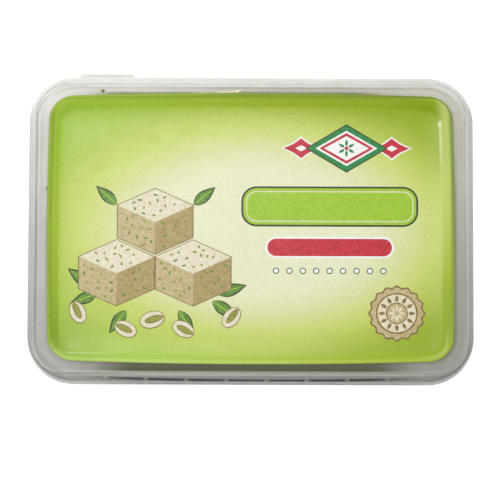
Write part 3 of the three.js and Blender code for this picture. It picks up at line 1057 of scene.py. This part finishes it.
def add_lumps(name, lumps, material):
    vertices, faces = [], []
    for points in lumps:
        start = len(vertices)
        vertices += points
        faces += [tuple(start + corner for corner in face) for face in BALL_FACES]
    add_object(name, vertices, faces, material)


def make_pistachios():
    """Bits of pistachio and of its skin where the halva meets the wall."""
    rng = random.Random(SEED + 1)
    green, skin = [], []
    for _ in range(PISTACHIO_BITS):
        points = ring_points(halva_side(rng.uniform(0.02, 0.98)))
        index = rng.randrange(len(points))
        here = Vector(points[index])
        following = Vector(points[(index + 1) % len(points)])
        spot = here.lerp(following, rng.random())
        side = (following - here).normalized()
        outward = side.cross(Vector((0, 0, 1))).normalized()
        rise = outward.cross(side).normalized()
        turn = rng.uniform(0, math.pi)
        along = side * math.cos(turn) + rise * math.sin(turn)
        across = rise * math.cos(turn) - side * math.sin(turn)
        size = rng.uniform(*BIT_SIZE)
        half_wide = across * size * rng.uniform(0.4, 0.8)
        bit = lump(spot - outward * 0.1, along * size, half_wide, outward * 0.45, rng)
        (green if rng.random() < GREEN_SHARE else skin).append(bit)
    green_look = nut_look("pistachio_look", rgb(150, 168, 74), rgb(110, 132, 48))
    skin_look = nut_look("skin_look", rgb(150, 104, 84), rgb(116, 74, 62))
    add_lumps("pistachio_pieces", green, green_look)
    add_lumps("pistachio_skins", skin, skin_look)


def make_crumbs():
    """Crumbs of halva and of pistachio that cling to the lid beside the film: x, y and the half sizes."""
    rng = random.Random(SEED + 2)
    halva = [(-5.0, LABEL_Y + 1.2, 1.4, 0.7)]
    for step in range(CRUMBS):
        share = step / (CRUMBS - 1)
        x = CRUMB_ROW[0] + CRUMB_ROW[1] * share + rng.uniform(-0.5, 0.5)
        y = LABEL_Y + 0.25 + 0.6 * share + rng.uniform(-0.15, 0.15)
        halva.append((x, y, rng.uniform(0.6, 1.3), 0.18 + 0.34 * share))
    green = [(-62.2, LABEL_Y + 1.0, 0.75, 0.6), (-LABEL_X - 0.3, 16.6, 0.28, 1.3)]
    looks = (nut_look("crumb_look", rgb(240, 230, 206), rgb(216, 200, 168)),
             nut_look("crumb_green", rgb(124, 134, 60), rgb(84, 92, 36)))
    up = Vector((0, 0, 0.3))
    for name, crumbs, look in zip(("halva_crumbs", "pistachio_crumbs"), (halva, green), looks):
        lumps = []
        for x, y, half_x, half_y in crumbs:
            centre = Vector((x, y, BAND_TOP + 0.35))
            lumps.append(lump(centre, Vector((half_x, 0, 0)), Vector((0, half_y, 0)), up, rng))
        add_lumps(name, lumps, look)


# ---- Camera, light and floor, in metres ----
CENTRE = Vector((-0.0003, -0.0086, 0.040))  # the camera and the lights point at it
CAMERA_DISTANCE = 2.5
FRONT_TILT = math.radians(12)
ROLL = math.radians(0.2)
FRAME_WIDTH = 0.2087  # what the picture's width spans at the lid
LIGHTS = {
    "key": {"place": (-0.30, 0.45, 0.80), "size": (0.6, 0.5), "power": 2.0},
    "spot": {"place": (-0.07, 0.22, 0.80), "size": (0.10, 0.10), "power": 0.7},
}
SKY_FRONT, SKY_BACK = 0.68, 0.84  # how strong the light from all round is
FLOOR_REACH = 6.0


def make_camera():
    data = bpy.data.cameras.new("camera")
    camera = new_object("camera", data)
    back = Vector((0, -math.sin(FRONT_TILT), math.cos(FRONT_TILT)))
    turn = Matrix.Rotation(FRONT_TILT, 4, "X") @ Matrix.Rotation(ROLL, 4, "Z")
    camera.matrix_world = Matrix.Translation(CENTRE + back * CAMERA_DISTANCE) @ turn
    data.sensor_width = 36
    data.lens = data.sensor_width * CAMERA_DISTANCE / FRAME_WIDTH
    data.clip_end = 50
    bpy.context.scene.camera = camera


def add_light(name, place, size, power):
    data = bpy.data.lights.new(name, "AREA")
    data.shape = "RECTANGLE"
    data.size, data.size_y = size
    data.energy = power
    light = new_object(name, data)
    light.location = place
    light.rotation_euler = (CENTRE - Vector(place)).to_track_quat("-Z", "Y").to_euler()


def make_world():
    """Soft light from all round, weaker from the front."""
    world = bpy.data.worlds.new("studio")
    bpy.context.scene.world = world
    world.use_nodes = True
    sky = Nodes(world.node_tree)
    split = sky.node("ShaderNodeSeparateXYZ")
    sky.plug(sky.node("ShaderNodeTexCoord").outputs["Generated"], split.inputs[0])
    ground = world.node_tree.nodes["Background"]
    ground.inputs["Color"].default_value = (1, 1, 1, 1)
    sky.plug(sky.ease(split.outputs["Y"], -0.9, 0.5, SKY_FRONT, SKY_BACK), ground.inputs["Strength"])


def make_floor():
    look = Look("floor", Roughness=0.9, Emission_Color=(1, 1, 1, 1), Emission_Strength=0.55)
    look.colour(look.mix(look.spread(look.noise(6)), rgb(250, 250, 249), rgb(247, 247, 246)))
    mesh = bpy.data.meshes.new("floor")
    mesh.from_pydata([(sx * FLOOR_REACH, sy * FLOOR_REACH, 0) for sx, sy in CORNERS], [], [(0, 1, 2, 3)])
    mesh.materials.append(look.material)
    new_object("floor", mesh)


def make_studio():
    for name, light in LIGHTS.items():
        add_light(name, **light)
    make_world()
    make_floor()
    bpy.context.scene.view_settings.view_transform = "Standard"


make_camera()
make_studio()
make_tub(frosted_plastic("tub_frost", 0.4, tub_depths_and_shade))
make_lid(frosted_plastic("lid_frost", 0.45, lid_depths_and_light))
make_film(film_print())
make_print()
make_halva(halva_look())
make_pistachios()
make_crumbs()
